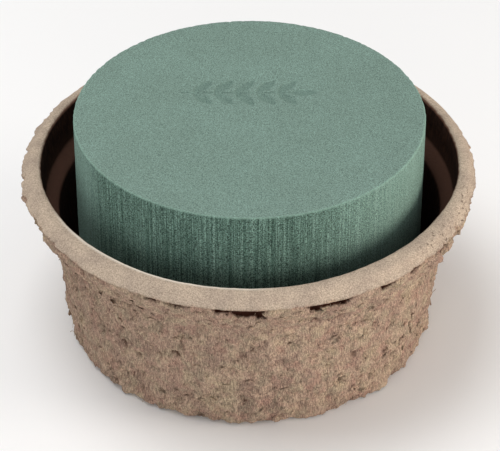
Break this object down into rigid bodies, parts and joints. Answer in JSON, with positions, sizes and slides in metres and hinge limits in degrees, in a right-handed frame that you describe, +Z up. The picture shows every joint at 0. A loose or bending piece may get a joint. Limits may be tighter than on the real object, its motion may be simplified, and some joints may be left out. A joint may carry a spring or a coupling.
{
  "type": "floral foam cylinder in pulp bowl",
  "caption": "Cylinder of cut floral foam standing in a round bowl of moulded paper pulp with a broad rim and an inner ledge; the foam lifts straight out.",
  "frame": {"origin": "centre of the bowl's foot, on the surface it stands on", "axes": "+Z up along the common axis of the bowl and the foam; +Y towards the side of the foam's top that carries the pressed sprig"},
  "size_m": [0.1902, 0.19, 0.1026],
  "materials": {
    "moulded_pulp": "matte",
    "floral_foam": "matte"
  },
  "bodies": {
    "bowl": {"pulp_bowl": "moulded_pulp"},
    "foam": {"foam_cylinder": "floral_foam"}
  },
  "joints": [
    {"name": "foam_lift", "type": "slide", "parent": "bowl", "child": "foam", "axis": [0, 0, 1], "range_m": [0, 0.1]}
  ]
}
